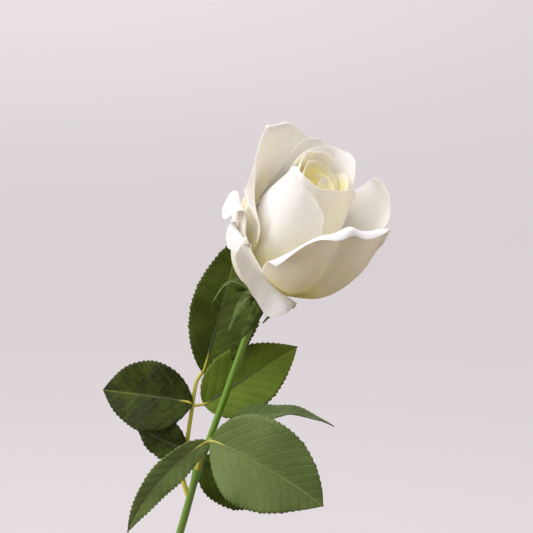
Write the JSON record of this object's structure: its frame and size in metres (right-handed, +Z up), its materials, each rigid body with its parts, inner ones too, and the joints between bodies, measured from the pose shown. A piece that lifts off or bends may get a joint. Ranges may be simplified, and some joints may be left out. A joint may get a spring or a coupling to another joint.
{
  "type": "rose in a bud vase",
  "caption": "Cut white rose with toothed compound leaves, leaning in a plain round bud vase of water",
  "frame": {"origin": "centre of the vase's flat foot, on the surface it stands on", "axes": "+Z up along the vase's axis; the stem leans to +X and the bloom nods towards -Y, the side the picture is taken from"},
  "size_m": [0.1359, 0.1154, 0.3536],
  "materials": {
    "vase": "plain pale grey ceramic, fine satin",
    "water": "clear still water",
    "stem": "smooth green rose stem",
    "calyx": "matt green receptacle and sepals",
    "bloom": "soft white petals, cream towards the heart",
    "leaf_back": "dark green leaflets on a yellow-green stalk",
    "leaf_front": "mid green leaflets with a dull bloom"
  },
  "bodies": {
    "root": {"vase": "vase", "water": "water", "stem": "stem", "calyx": "calyx", "bloom": "bloom", "leaf_back": "leaf_back", "leaf_front": "leaf_front"}
  },
  "joints": []
}
